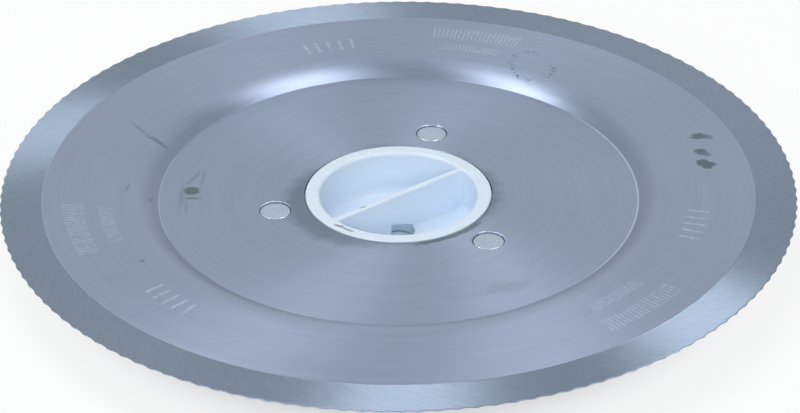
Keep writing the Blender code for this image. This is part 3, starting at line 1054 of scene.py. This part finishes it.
        hole, lip = self.rivet_hole, self.centre_front - self.dimple_depth
        rim = circle(hole + self.dimple_width, self.centre_front)
        rows = [front * (1 - share) + rim * share for share in (0.0, 0.3, 0.6, 0.85, 0.97)]
        for share in np.linspace(0, 1, 7):
            fall = self.dimple_depth * (1 - math.cos(share * math.pi / 2))
            rows.append(circle(hole + self.dimple_width * (1 - share * 0.93), self.centre_front - fall))
        rows.append(circle(hole + 0.012, lip - 0.03))
        rows.append(circle(hole, lip - 0.08))
        rows.append(circle(hole, self.centre_front - self.countersink_depth))
        rows.append(circle(self.shank_hole, self.centre_back + 0.05))
        rim = circle(self.shank_hole + 0.05, self.centre_back)
        rows += [rim * (1 - share) + behind * share for share in (0.0, 0.3, 0.65, 1.0)]
        return np.stack(rows)

    def build(self) -> bpy.types.Object:
        """Makes the disc and dresses it.

        Returns:
            The object.
        """
        shell = Shell(self.name)
        edge = self.edge_surface()
        front, back = (revolved(side, self.around) for side in (self.front_profile(), self.back_profile()))
        shell.grid(front)
        shell.comb(front[-1], edge[0])
        shell.grid(edge, slot=1)
        shell.comb(back[0], edge[-1], fine_last=False)
        shell.grid(back)
        soft = self.hole_round
        low = arc((self.seat_radii[0], self.centre_back + soft), soft, 270, 180, 4)
        high = arc((self.seat_radii[0], self.centre_front - soft), soft, 180, 90, 4)
        shell.grid(revolved(np.concatenate([low, high]), self.around))
        step = 360.0 / len(RIVET_ANGLES)
        for middle in RIVET_ANGLES:
            shell.grid(self.rivet_seat(middle))
            plain = np.radians(np.arange(middle + self.seat_half, middle + step - self.seat_half + 0.5))
            shell.grid(polar(self.seat_radii[:, None], plain[None, :], self.centre_front), wrap=False)
            shell.grid(polar(self.seat_radii[::-1, None], plain[None, :], self.centre_back), wrap=False)
        made = shell.build(sharp=25.0)
        for finish in self.finishes:
            made.data.materials.append(finish.material())
        return made


# The hub


@dataclass
class DriveHub:
    """The one-piece moulding: ring, cup, grip bar, web, ribs, rivet bosses and drive gear.

    The window is an outline (along the bar, above the cup's floor). A row of tooth_round goes
    inwards from the root, in from the gear's face, and has its share of the teeth.
    """

    finish: PlasticFinish
    name: str = "moulded_drive_hub"
    rim_radius: float = 20.0
    rim_top: float = 12.0
    rim_round: float = 0.8
    rim_chamfer: float = 0.3
    cup_mouth: float = 16.9
    cup_floor: float = 2.3
    cup_floor_radius: float = 16.48
    cup_fillet: float = 2.5
    cup_foot: float = 18.58
    foot_round: float = 0.5
    bar_half: float = 0.7
    bar_top: float = 11.75
    bar_draft: float = 1.2
    bar_angle: float = 37.6
    bar_fillet: float = 0.7
    bar_round: float = 0.35
    window: tuple[Pair, ...] = ((-2.65, -0.3), (3.15, -0.3), (3.15, 0.95), (-2.65, 3.0))
    window_half: float = 1.6
    bore_radius: float = 3.5
    bore_relief: float = 0.3
    web_front: float = 10.5
    web_back: float = 7.9
    web_middle: float = 26.0
    gear_rear: float = 2.0
    gear_bore: float = 32.55
    teeth: int = 72
    module: float = 1.0
    pressure: float = 20.0
    tooth_round: tuple[Triple, ...] = (
        (0.9, 0.0, 0.0),
        (0.22, 0.0, 0.93),
        (0.06, 0.07, 0.98),
        (0.0, 0.25, 1.0),
    )
    rib_half: float = 0.8
    rib_rear: float = 3.0
    rib_soft: float = 0.18
    rivet_hole: float = 2.4
    boss_radius: float = 5.0
    boss_rear: float = 7.1
    steps: int = 240

    def cup(self) -> bpy.types.Object:
        """The ring and cup, a profile turned round the axis.

        Returns:
            The object.
        """
        fillet, chamfer, soft = self.cup_fillet, self.rim_chamfer, self.foot_round
        inner = arc((self.cup_floor_radius - fillet, self.cup_floor + fillet), fillet, -90, -CUP_DRAFT, 12)
        mouth_at = (self.cup_mouth + self.rim_round, self.rim_top - self.rim_round)
        mouth = arc(mouth_at, self.rim_round, 180 - CUP_DRAFT, 90, 9)
        outer = arc((self.rim_radius - chamfer, self.rim_top - chamfer), chamfer, 90, 0, 5)
        foot = arc((self.cup_foot - soft, soft), soft, 0, -90, 5)
        under = self.web_front - 0.8
        parts = [
            [(0.0, self.cup_floor), (6.0, self.cup_floor), (inner[0, 0] - 0.3, self.cup_floor)],
            inner,
            mouth,
            [(mouth[-1, 0] + 0.25, self.rim_top), (outer[0, 0] - 0.25, self.rim_top)],
            outer,
            [(self.rim_radius, under), (self.cup_foot + 0.12, under)],
            foot,
            [(foot[-1, 0] - 0.4, 0.0), (6.0, 0.0), (0.0, 0.0)],
        ]
        shell = Shell("cup")
        shell.grid(revolved(np.concatenate(parts), ring_angles(self.steps)))
        return shell.build()

    def tooth_line(self) -> tuple[np.ndarray, np.ndarray]:
        """The gear's outline.

        A tooth's half angle at a radius is pi / (2 n) + inv(pressure) - inv(a), where inv(x) is
        tan(x) - x and cos(a) is the base circle's radius over this one. The root and the tip are
        arcs, and the fillet at the root is one more point.

        Returns:
            Its angles and its radii, all the way round.
        """
        pitch = self.module * self.teeth / 2
        root, tip = pitch - 1.25 * self.module, pitch + self.module
        pressure = math.radians(self.pressure)
        flank = np.array([root + 0.18, root + 0.55, pitch - 0.35, pitch + 0.1, pitch + 0.55, tip - 0.06])
        here = np.arccos(np.minimum(1.0, pitch * math.cos(pressure) / flank))
        half = math.pi / (2 * self.teeth) + (math.tan(pressure) - pressure) - (np.tan(here) - here)
        pace = 2 * math.pi / self.teeth
        angles = np.concatenate([[-pace / 2, -half[0] - 0.16 / root], -half, [-half[-1] * 0.72]])
        radii = np.concatenate([[root, root], flank, [tip]])
        angles, radii = np.concatenate([angles, -angles[:0:-1]]), np.concatenate([radii, radii[:0:-1]])
        turns = np.arange(self.teeth)[:, None] * pace
        return (turns + angles[None, :]).ravel(), np.tile(radii, self.teeth)

    def gear(self) -> bpy.types.Object:
        """The web and the toothed ring: one profile whose outer points follow the teeth.

        Each row has a radius, a height and a share of the teeth. The point is at the radius plus
        that share of the tooth line's height above its root.

        Returns:
            The object.
        """
        angles, radii = self.tooth_line()
        root, inner, bore = radii.min(), self.rim_radius - 1.0, self.gear_bore
        front, back, rear = self.web_front, self.web_back, self.gear_rear
        rows = [(inner, front, 0.0), (self.web_middle, front, 0.0)]
        rows += [(root - r, front - z, share) for r, z, share in self.tooth_round]
        rows += [(root - r, rear + z, share) for r, z, share in self.tooth_round[::-1]]
        rows += [(bore + r, rear + z, 0.0) for r, z in ((0.45, 0.0), (0.2, 0.05), (0.1, 0.2))]
        rows += [(bore - r, back - z, 0.0) for r, z in ((0.0, 0.6), (0.06, 0.3), (0.2, 0.1), (0.5, 0.0))]
        rows += [(self.web_middle, back, 0.0), (inner, back, 0.0), (inner, front, 0.0)]
        across, heights, shares = np.array(rows).T[:, :, None]
        shell = Shell("gear")
        shell.grid(polar(across + shares * (radii - root)[None, :], angles[None, :], heights))
        return shell.build()

    def bar(self) -> bpy.types.Object:
        """The grip bar: a section carried along the bar.

        Half its width is the drafted half width plus a fillet, the radius less the root of the
        radius squared less the square of what is left to the wall or floor, near both of them.
        Its top corners are quarter circles.

        Returns:
            The object.
        """
        reach = self.cup_mouth + self.rim_round + 0.4
        stretches = ((0, 0.12, 10), (0.16, 0.84, 9), (0.88, 1, 10))
        share = np.concatenate([np.linspace(*stretch) for stretch in stretches])
        along = (share * 2 - 1) * reach
        quarter = np.linspace(0, math.pi / 2, 6)
        low = self.cup_floor + self.bar_fillet * (1 - np.cos(quarter))
        side = np.concatenate([[self.cup_floor - OVERLAP], low, [6.0, 9.0]])
        heights = np.concatenate([side, self.bar_top - self.bar_round + self.bar_round * np.sin(quarter)])
        inset = np.concatenate([np.zeros(len(side)), self.bar_round * (1 - np.cos(quarter))])

        def fillet(gap: np.ndarray) -> np.ndarray:
            """How far a fillet stands out at a distance from the face that it runs into."""
            left = np.clip(self.bar_fillet - gap, 0.0, self.bar_fillet)
            return self.bar_fillet - np.sqrt(self.bar_fillet**2 - left**2)

        near_floor = fillet(heights - self.cup_floor)[:, None]
        wall = self.cup_floor_radius + (heights - self.cup_floor) * math.tan(math.radians(CUP_DRAFT))
        near_wall = fillet(wall[:, None] - np.abs(along)[None, :])
        drafted = self.bar_half + (self.bar_top - heights) * math.tan(math.radians(self.bar_draft)) - inset
        half = drafted[:, None] + np.maximum(near_floor, near_wall)
        xs, zs = np.broadcast_arrays(along[None, :], heights[:, None])
        left, right = (np.stack([xs, sign * half, zs], axis=-1) for sign in (1, -1))
        return block("bar", np.swapaxes(np.concatenate([left, right[::-1]]), 0, 1), self.bar_angle)

    def rib(self, name: str, turn: float) -> bpy.types.Object:
        """One upright rib between the cup and the gear, a little wider at its top.

        Args:
            name: The mesh's name.
            turn: Its angle.

        Returns:
            The object.
        """
        half, rear, soft = self.rib_half, self.rib_rear, self.rib_soft
        heights = np.array([rear, rear + soft * 0.3, rear + soft, self.web_back + OVERLAP])
        widths = np.array([half - soft, half - soft * 0.3, half, half + 0.08])
        near, far = self.cup_foot - OVERLAP, self.gear_bore + OVERLAP
        ends, zs = np.broadcast_arrays(np.array([near, near, far, far])[None, :], heights[:, None])
        sides = np.array([1.0, -1.0, -1.0, 1.0])[None, :] * widths[:, None]
        return block(name, np.stack([ends, sides, zs], axis=-1), turn)

    def bar_window(self) -> bpy.types.Object:
        """The opening at the bar's foot: its outline carried across the bar.

        Returns:
            The object.
        """
        outline, half = np.array(self.window), self.window_half
        sides = np.array([[-half], [half]])
        parts = np.broadcast_arrays(outline[:, 0], sides, self.cup_floor + outline[:, 1])
        return block("window", np.stack(parts, axis=-1), self.bar_angle)

    def build(self) -> bpy.types.Object:
        """Joins the parts of the moulding, cuts its openings and dresses it.

        Returns:
            The object.
        """
        hub = self.cup()
        hub.name = self.name
        tools = [(self.gear(), Cut.JOIN), (self.bar(), Cut.JOIN)]
        ribs = 2 * len(RIVET_ANGLES)
        for index in range(ribs):
            tools.append((self.rib(f"rib_{index}", RIVET_ANGLES[0] + 360.0 * (index + 0.5) / ribs), Cut.JOIN))
        places = [on_circle(RIVET_CIRCLE, angle) for angle in RIVET_ANGLES]
        out, rear, top = self.boss_radius, self.boss_rear, self.web_back + OVERLAP
        rim = [(out - 0.3, rear), (out - 0.08, rear + 0.08), (out, rear + 0.3)]
        boss = [(0, rear), *rim, (out, top), (0, top)]
        hole = [(0, 5.0), (self.rivet_hole, 5.0), (self.rivet_hole, 12.5), (0, 12.5)]
        for index, at in enumerate(places):
            tools.append((peg(f"boss_{index}", boss, at, 64), Cut.JOIN))
        for index, at in enumerate(places):
            tools.append((peg(f"hole_{index}", hole, at, 48), Cut.TAKE))
        out, top = self.bore_radius, self.cup_floor + self.bore_relief
        bore = [(0, -1.0), (out + 1.35, -1.0), (out + 0.35, 0.0), (out, 0.35), (out, top), (0, top)]
        tools.append((peg("bore", bore, (0.0, 0.0), 96), Cut.TAKE))
        tools.append((self.bar_window(), Cut.TAKE))
        carve(hub, tools)
        hub.data.materials.clear()
        hub.data.materials.append(self.finish.material())
        return hub


# The rivets


@dataclass
class Rivet:
    """A countersunk rivet, flush in front, its tail closed in a dome behind the web."""

    angle: float
    name: str
    finish: RivetFinish
    head: float = 3.3
    head_top: float = 11.62
    head_crown: float = 0.05
    edge_round: float = 0.28
    land: float = 0.3
    shank: float = 2.1
    seat: float = 10.8
    tail_top: float = 6.8
    tail_rim: float = 0.7
    tail_break: float = 0.15
    tail: float = 3.6
    tail_end: float = 5.2
    steps: int = 96

    def profile(self) -> np.ndarray:
        """(r, z) from the middle of the head, over its rounded edge and cone, down to the dome.

        The head falls by its crown times the square of the share of its radius. The dome's radius
        is a power of a cosine and its depth is a sine.

        Returns:
            The points.
        """
        top, soft = self.head_top, self.edge_round
        out = np.linspace(0, 1, 7)[:-1] * (self.head - soft)
        face = np.stack([out, top - self.head_crown * (out / self.head) ** 2], axis=1)
        edge = arc((self.head - soft, top - self.head_crown - soft), soft, 88, 0, 8)
        under = [
            (self.head, top - self.land),
            (self.shank, self.seat),
            (self.shank, self.tail_top),
            (self.tail - self.tail_break, self.tail_top),
            (self.tail, self.tail_top - self.tail_break),
        ]
        turn, start = np.radians(np.linspace(0, 90, 10)), self.tail_top - self.tail_rim
        radii, heights = self.tail * np.cos(turn) ** 0.6, start - (start - self.tail_end) * np.sin(turn)
        dome = np.stack([radii, heights], axis=1)
        dome[-1, 0] = 0.0
        return np.concatenate([face, edge, under, dome])

    def build(self) -> bpy.types.Object:
        """Turns the rivet round its own axis, at its place on the circle, and dresses it.

        Returns:
            The object.
        """
        at = on_circle(RIVET_CIRCLE, self.angle)
        shell = Shell(self.name)
        shell.grid(revolved(self.profile(), ring_angles(self.steps)) + np.array([*at, 0.0]))
        made = shell.build()
        made.data.materials.append(self.finish.material(at))
        return made


# The studio


@dataclass(frozen=True)
class Lamp:
    """A rectangular soft box that faces the middle of the disc."""

    name: str
    at: Triple
    size: Pair
    power: float
    use: Use

    def build(self) -> None:
        """Puts the lamp in the scene."""
        light = bpy.data.lights.new(self.name, "AREA")
        light.shape = "RECTANGLE"
        light.size, light.size_y = self.size[0] * MM, self.size[1] * MM
        light.energy = self.power
        made = bpy.data.objects.new(self.name, light)
        bpy.context.scene.collection.objects.link(made)
        made.location = [c * MM for c in self.at]
        made.rotation_euler = (-made.location).to_track_quat("-Z", "Y").to_euler()
        made.visible_diffuse = self.use is Use.FILL
        made.visible_glossy = self.use is Use.SHEEN


@dataclass
class Studio:
    """A pale floor, soft boxes, a pale world and the camera.

    The camera's axes are its right, up and back. The ceiling starts and ends at two heights of a
    direction of length 1. Inside the radii of shade_under_bore the floor is grey, a disc of painted
    shade that shows through the bore, and the floor turns white over the two radii of floor_clear.
    """

    lamps: tuple[Lamp, ...] = (
        Lamp("softbox_left", (-268.0, 132.0, 627.0), (150.0, 220.0), 1.48, Use.SHEEN),
        Lamp("softbox_right", (200.0, 106.0, 651.0), (150.0, 220.0), 1.45, Use.SHEEN),
        Lamp("fill_left", (-230.0, 60.0, 620.0), (260.0, 260.0), 0.9, Use.FILL),
        Lamp("fill_right", (-20.0, -110.0, 665.0), (260.0, 260.0), 1.0, Use.FILL),
        Lamp("softbox_front", (0.0, -760.0, 380.0), (700.0, 300.0), 2.2, Use.FILL),
    )
    camera_at: Triple = (0.0, -572.6, 354.6)
    camera_axes: tuple[Triple, ...] = (
        (0.9999675, -0.0045654, -0.0066421),
        (0.0080460, 0.5173063, 0.8557625),
        (-0.0004709, -0.8557881, 0.5173263),
    )
    lens: float = 139.72
    sensor: float = 36.0
    clip: Pair = (10.0, 20000.0)
    world_light: float = 0.38
    world_colour: Colour = (0.97, 0.985, 1.0)
    ceiling: float = 0.8
    ceiling_from: Pair = (0.6, 0.85)
    floor_half: float = 1500.0
    floor_drop: float = 0.05
    floor_colour: Colour = (0.95, 0.96, 0.97)
    floor_white: float = 0.86
    floor_clear: Pair = (45.0, 80.0)
    shade_under_bore: Pair = (4.2, 4.8)

    def floor(self) -> None:
        """A level floor, white where the camera or a mirror sees it lit, with the object's shadow."""
        line = np.linspace(-self.floor_half, self.floor_half, 9)
        xs, ys = np.meshgrid(line, line)
        points = np.stack([xs, ys, np.full_like(xs, -self.floor_drop)], axis=-1)
        shell = Shell("studio_floor")
        shell.grid(np.swapaxes(points, 0, 1)[:, ::-1], wrap=False)
        made = shell.build(outwards=True)
        made.data.materials.append(self.paper())

    def paper(self) -> bpy.types.Material:
        """The floor's material: matt paper, and away from the object a share of plain white.

        Returns:
            The material.
        """
        board = Board("studio_paper")
        shade_of = tuple(0.985 * c for c in self.floor_colour)
        colour = board.mix(board.noise(board.place, 4.0), shade_of, self.floor_colour)
        # A grey disc of painted shade under the bore, seen through it.
        colour = board.mix(board.ramp(board.radius, *self.shade_under_bore), FLOOR_SHADE_UNDER_BORE, colour)
        path = board.node("LightPath").outputs
        rays = ("Camera", "Glossy", "Transmission")
        seen = board.chain("MAXIMUM", *(path[f"Is {ray} Ray"] for ray in rays))
        clear = board.ramp(board.radius, *self.floor_clear, 0.0, self.floor_white)
        white = board.node("Emission").outputs[0]
        inputs = {"Fac": board.maths("MULTIPLY", seen, clear), 1: board.shader.outputs["BSDF"], 2: white}
        board.feed(board.output.inputs["Surface"], board.node("MixShader", inputs).outputs[0])
        return board.dress({"Base Color": colour, "Roughness": 0.9})

    def world(self) -> None:
        """A surround: white for the camera, greyer overhead for reflections, and dimmer as a light."""
        world = bpy.data.worlds.new("studio_surround")
        bpy.context.scene.world = world
        world.use_nodes = True
        nodes = Nodes(world.node_tree)
        path = nodes.node("LightPath").outputs
        direction = nodes.node("TexCoord").outputs["Generated"]
        height = nodes.node("SeparateXYZ", {0: direction}).outputs["Z"]
        overhead = nodes.ramp(height, *self.ceiling_from, 1.0, self.ceiling)
        bright = nodes.maths("MAXIMUM", overhead, path["Is Camera Ray"])
        seen = nodes.node("Background", {"Color": bright}).outputs[0]
        inputs = {"Color": (*self.world_colour, 1.0), "Strength": self.world_light}
        light = nodes.node("Background", inputs).outputs[0]
        either = nodes.maths("MAXIMUM", path["Is Camera Ray"], path["Is Glossy Ray"])
        both = nodes.node("MixShader", {"Fac": either, 1: light, 2: seen}).outputs[0]
        nodes.node("OutputWorld", {"Surface": both})

    def camera(self) -> None:
        """The camera at the photograph's angle: its axes are the columns of its matrix."""
        data = bpy.data.cameras.new("camera")
        data.sensor_fit = "HORIZONTAL"
        data.sensor_width = self.sensor
        data.lens = self.lens
        data.clip_start, data.clip_end = (distance * MM for distance in self.clip)
        made = bpy.data.objects.new("camera", data)
        bpy.context.scene.collection.objects.link(made)
        place = [c * MM for c in self.camera_at]
        rows = [list(row) for row in zip(*self.camera_axes, place)]
        made.matrix_world = Matrix([*rows, [0.0, 0.0, 0.0, 1.0]])
        bpy.context.scene.camera = made

    def build(self) -> None:
        """Sets up everything that isn't part of the object."""
        self.floor()
        for lamp in self.lamps:
            lamp.build()
        self.world()
        self.camera()
        bpy.context.scene.view_settings.view_transform = "Standard"


def sheet_stains_and_gap_shade() -> tuple[StainOrGapShade, ...]:
    """The stain marks of the sheet's front: spots, rubs and scratches, the film, painted shade with grime in
    the gap round the hub, and the drop's ring.

    Returns:
        The stains.
    """
    right_spots = (
        Mark((66.0, 19.4), (3.4, 2.5), 10.0, 0.8, 0.5, 0.25),
        Mark((67.9, 19.1), (2.4, 1.8), -8.0, 0.6, 0.5, 0.4),
        Mark((65.9, 12.6), (2.7, 2.6), -20.0, 0.8, 0.5, 0.25),
        Mark((67.1, 11.5), (2.2, 1.6), -35.0, 0.6, 0.5, 0.4),
        Mark((66.1, 7.9), (2.9, 2.9), 0.0, 0.85, 0.45, 0.2),
        Mark((67.0, 6.9), (3.2, 2.9), 20.0, 0.85, 0.45, 0.2),
    )
    left_spot_and_rubs = (
        Mark((-44.5, 1.7), (3.7, 3.3), 0.0, 0.8, 0.35, 0.25),
        Mark((-44.3, -1.4), (3.4, 0.8), 0.0, 0.6, 0.4, 0.4),
        Mark((-44.3, 7.2), (6.4, 0.7), 65.0, 0.3, 0.6, 0.5),
        Mark((-42.3, 7.2), (6.4, 0.6), 84.0, 0.25, 0.6, 0.5),
        Mark((-46.6, -1.0), (10.4, 1.0), 89.0, 0.25, 0.7, 0.6),
        Mark((-45.4, -4.8), (5.4, 0.7), 92.0, 0.25, 0.7, 0.5),
    )
    scratches = (
        Mark((-57.1, 24.6), (8.7, 0.5), -55.8, 0.35, 0.6, 0.5),
        Mark((-53.1, 19.6), (5.7, 1.1), -39.2, 0.55, 0.6, 0.4),
        Mark((-58.1, -0.7), (3.8, 0.7), 78.0, 0.35, 0.6, 0.5),
        Mark((-52.9, -3.5), (2.0, 0.8), 80.0, 0.4, 0.6, 0.5),
    )
    near_spots = (
        Mark((-53.0, -30.3), (1.1, 1.1), 0.0, 0.55, 0.5, 0.4),
        Mark((22.0, -37.5), (9.0, 4.6), 8.0, 0.22, 0.8, 0.7),
    )
    # The two traces are dark lines at the gap round the hub: painted shade in the gap, with grime. The film
    # is grime that hands leave.
    round_the_hub = (
        Trace(21.0, 1.3, 302.0, 28.0, 0.8, 0.8),
        Trace(20.45, 0.5, 262.0, 105.0, 0.6, 0.3),
        HubSmear(21.0, (((-0.86, -0.5), 0.45, 9.5), ((1.0, -0.05), 0.82, 9.0))),
    )
    dried_drop = (SpeckRing((31.0, 52.2), (9.6, 13.0), 20.0, 0.9),)
    return right_spots + left_spot_and_rubs + scratches + near_spots + round_the_hub + dried_drop


def sheet_pale_marks_and_highlights() -> tuple[Trace | Hatch, ...]:
    """The light lines of the sheet's front: two painted highlights at the slope's foot, a pale line at the
    ground band's edge, and three fields of strokes at three places.

    Returns:
        The worn places.
    """
    pale_marks_and_highlights = [
        # Painted highlights along the crease at the slope's foot, strong on the right and faint on the left,
        # then a pale line along the ground band's inner edge.
        Trace(51.42, 0.34, 0.0, 48.0, 0.65, 0.3),
        Trace(51.42, 0.3, 180.0, 24.0, 0.25, 0.3),
        Trace(76.3, 0.4, 110.0, 150.0, 0.16, 0.3),
    ]
    for turn in (0.0, 120.0, 240.0):
        pale_marks_and_highlights.append(Hatch(69.6, 4.6, 74.5 + turn, 8.6, 0.82))
        pale_marks_and_highlights.append(Hatch(62.9, 3.2, 74.5 + turn, 6.6, 0.74))
        pale_marks_and_highlights.append(Hatch(64.6, 4.8, 104.0 + turn, 6.0, 2.4, 0.5, 0.42))
    return tuple(pale_marks_and_highlights)


def finishes() -> tuple[SteelFinish, SteelFinish, PlasticFinish, RivetFinish]:
    """The finishes.

    Returns:
        Those of the disc's sheet, its ground parts, the hub and the rivets.
    """
    sheet = SteelFinish(
        "brushed_sheet", Lay.ROUND, light=(0.287, 0.34, 0.448), dark=(0.219, 0.266, 0.36),
        roughness=0.365, anisotropy=0.75, lay_at_middle=8.6, lay_change=-0.29, middle=50.0,
        across=1.3, along=0.05, contrast=0.8, groove=0.24,
        stains_and_gap_shade=sheet_stains_and_gap_shade(), pale_marks_and_highlights=sheet_pale_marks_and_highlights(), slope=(51.5, 56.5),
    )
    ground = SteelFinish(
        "ground_bevel", Lay.SPIRAL, light=(0.292, 0.352, 0.444), dark=(0.176, 0.23, 0.304),
        roughness=0.41, anisotropy=1.0, lay_at_middle=38.0, lay_change=0.0, middle=80.0,
        across=1.6, along=0.33, contrast=1.2, groove=0.75,
    )
    scuffs = (
        Mark((-12.6, -13.6), (2.6, 0.9), -32.0, 0.7, 0.6, 0.4),
        Mark((-10.6, -15.2), (2.4, 0.8), -38.0, 0.6, 0.6, 0.4),
        Mark((-7.6, -5.6), (1.7, 0.5), 30.0, 0.5, 0.6, 0.5),
    )
    plastic = PlasticFinish(
        "white_moulding", light=(0.75, 0.86, 0.985), dark=(0.73, 0.845, 0.975),
        roughness=0.34, scuffs=scuffs, bore_shade=(3.5, 2.3),
    )
    aluminium = RivetFinish("formed_metal", (0.43, 0.51, 0.6), (0.32, 0.395, 0.485), 0.3)
    return sheet, ground, plastic, aluminium


def dress(made: bpy.types.Object, node: str) -> None:
    """Lets a piece ride on the body in place of a CAD node, and reports it.

    Args:
        made: The piece.
        node: The CAD node.
    """
    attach(made, BODY)
    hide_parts(node)
    LOG.info("%s stands for %s: %d faces", made.name, node, len(made.data.polygons))


def main() -> None:
    """Builds the disc, the hub and the rivets, then the studio."""
    logging.basicConfig(level=logging.INFO, format="%(message)s")
    sheet, ground, plastic, aluminium = finishes()
    dress(BladeDisc((sheet, ground)).build(), "blade_disc")
    dress(DriveHub(plastic).build(), "drive_hub")
    for number, (angle, place) in enumerate(zip(RIVET_ANGLES, RIVET_PLACES), start=1):
        dress(Rivet(angle, f"formed_rivet_{place}", aluminium).build(), f"rivet_{number}")
    Studio().build()


if __name__ == "__main__":
    main()
